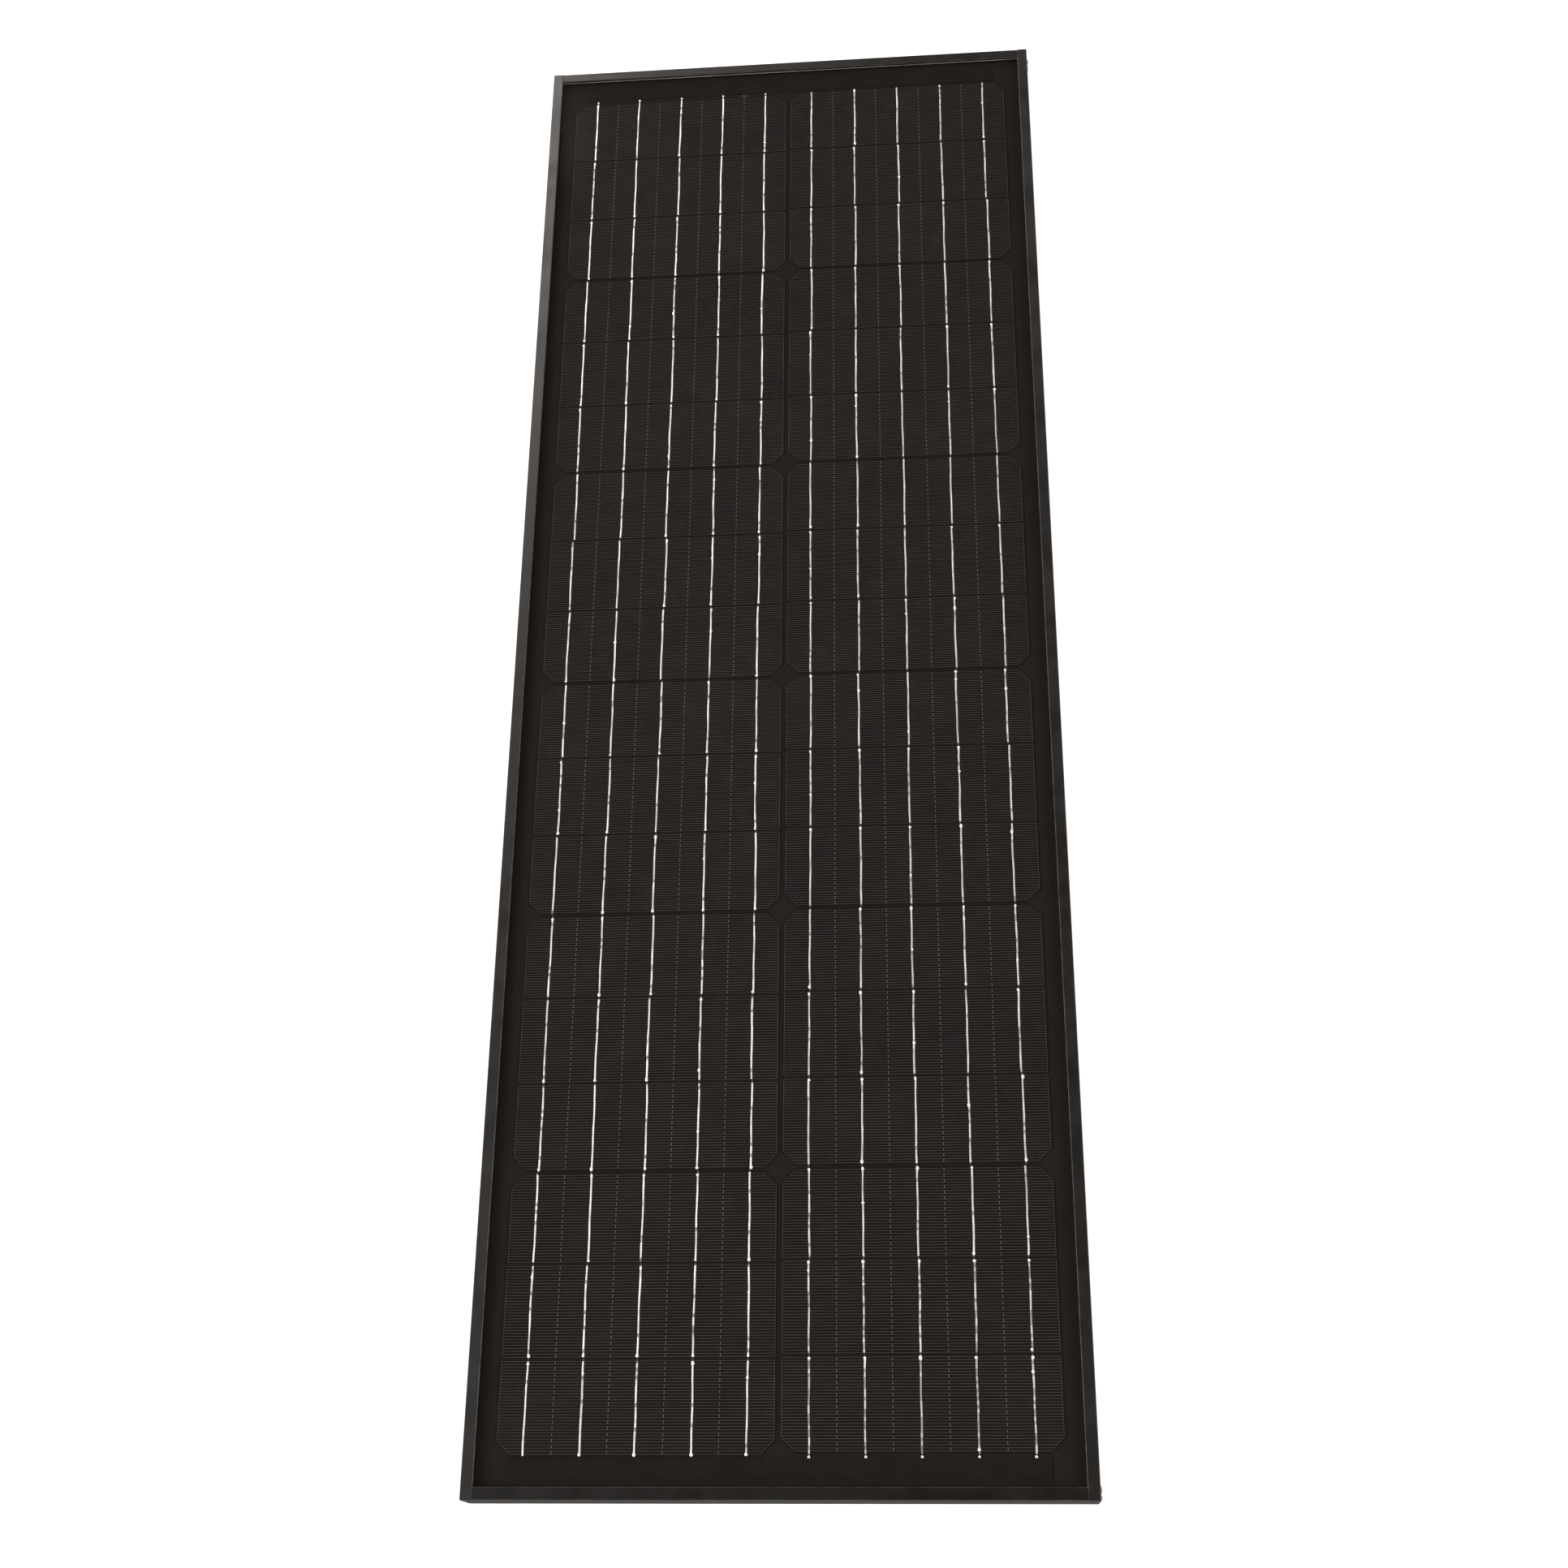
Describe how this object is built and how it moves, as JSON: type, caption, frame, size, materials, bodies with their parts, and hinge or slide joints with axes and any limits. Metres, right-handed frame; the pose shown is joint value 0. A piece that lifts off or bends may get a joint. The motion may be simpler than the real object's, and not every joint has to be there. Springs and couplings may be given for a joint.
{
  "type": "solar panel",
  "caption": "Slim framed solar panel: black aluminium rails round a glass laminate of cut cells in columns joined by bright ribbons, with a hinged-lid junction box and cable glands behind.",
  "frame": {"origin": "centre of the rear plane of the frame's flanges", "axes": "+Z out of the glass, +Y along the panel towards the junction-box end, +X across the panel"},
  "size_m": [0.3524, 1.005, 0.025],
  "materials": {
    "frame": "fine matte black anodised",
    "screw": "satin",
    "seal": "matte",
    "glass": "low-iron, smooth",
    "encapsulant": "clear film",
    "cell": "dark anti-reflective silicon",
    "ribbon": "tinned, bright",
    "bus": "tinned",
    "cover_film": "matte black film",
    "backsheet": "matte black",
    "label": "blank satin film",
    "adhesive": "matte silicone",
    "jbox": "fine moulded grain",
    "gasket": "matte",
    "pin": "satin",
    "terminal": "satin",
    "diode": "moulded epoxy",
    "vent": "matte",
    "gland_ring": "moulded",
    "gland_nut": "moulded"
  },
  "bodies": {
    "panel": {"left_rail": "frame", "right_rail": "frame", "top_rail": "frame", "bottom_rail": "frame", "corner_screws": "screw", "edge_seal": "seal", "front_glass": "glass", "front_encapsulant": "encapsulant", "left_cell_string": "cell", "right_cell_string": "cell", "left_ribbons": "ribbon", "right_ribbons": "ribbon", "top_bus_ribbons": "bus", "bottom_bus_ribbon": "bus", "top_cover_strip": "cover_film", "bottom_cover_strip": "cover_film", "rear_encapsulant": "encapsulant", "backsheet": "backsheet", "bus_leads": "bus", "blank_label": "label", "jbox_pad": "adhesive", "jbox_base": "jbox", "lid_gasket": "gasket", "lid_hinge_pin": "pin", "terminal_plates": "terminal", "terminal_screws": "screw", "bypass_diode": "diode", "vent_plug": "vent", "gland_a_seal": "gasket", "gland_b_seal": "gasket"},
    "jbox_lid": {"jbox_lid": "jbox"},
    "gland_a_ring": {"gland_a_ring": "gland_ring"},
    "gland_a_nut": {"gland_a_nut": "gland_nut"},
    "gland_b_ring": {"gland_b_ring": "gland_ring"},
    "gland_b_nut": {"gland_b_nut": "gland_nut"}
  },
  "joints": [
    {"name": "lid_hinge", "type": "hinge", "parent": "panel", "child": "jbox_lid", "pos_m": [0, 0.4627, 0.005], "axis": [1, 0, 0], "range_deg": [0, 110]},
    {"name": "gland_a_travel", "type": "slide", "parent": "panel", "child": "gland_a_ring", "axis": [0, -1, 0], "range_m": [0, 0.003]},
    {"name": "gland_a_turn", "type": "hinge", "parent": "gland_a_ring", "child": "gland_a_nut", "pos_m": [-0.026, 0.375, 0.0096], "axis": [0, -1, 0], "range_deg": [0, 721]},
    {"name": "gland_b_travel", "type": "slide", "parent": "panel", "child": "gland_b_ring", "axis": [0, -1, 0], "range_m": [0, 0.003]},
    {"name": "gland_b_turn", "type": "hinge", "parent": "gland_b_ring", "child": "gland_b_nut", "pos_m": [0.026, 0.375, 0.0096], "axis": [0, -1, 0], "range_deg": [0, 721]}
  ],
  "couplings": [
    {"joint": "gland_a_turn", "follows": "gland_a_travel", "rad_per_m": 4188.8},
    {"joint": "gland_b_turn", "follows": "gland_b_travel", "rad_per_m": 4188.8}
  ]
}
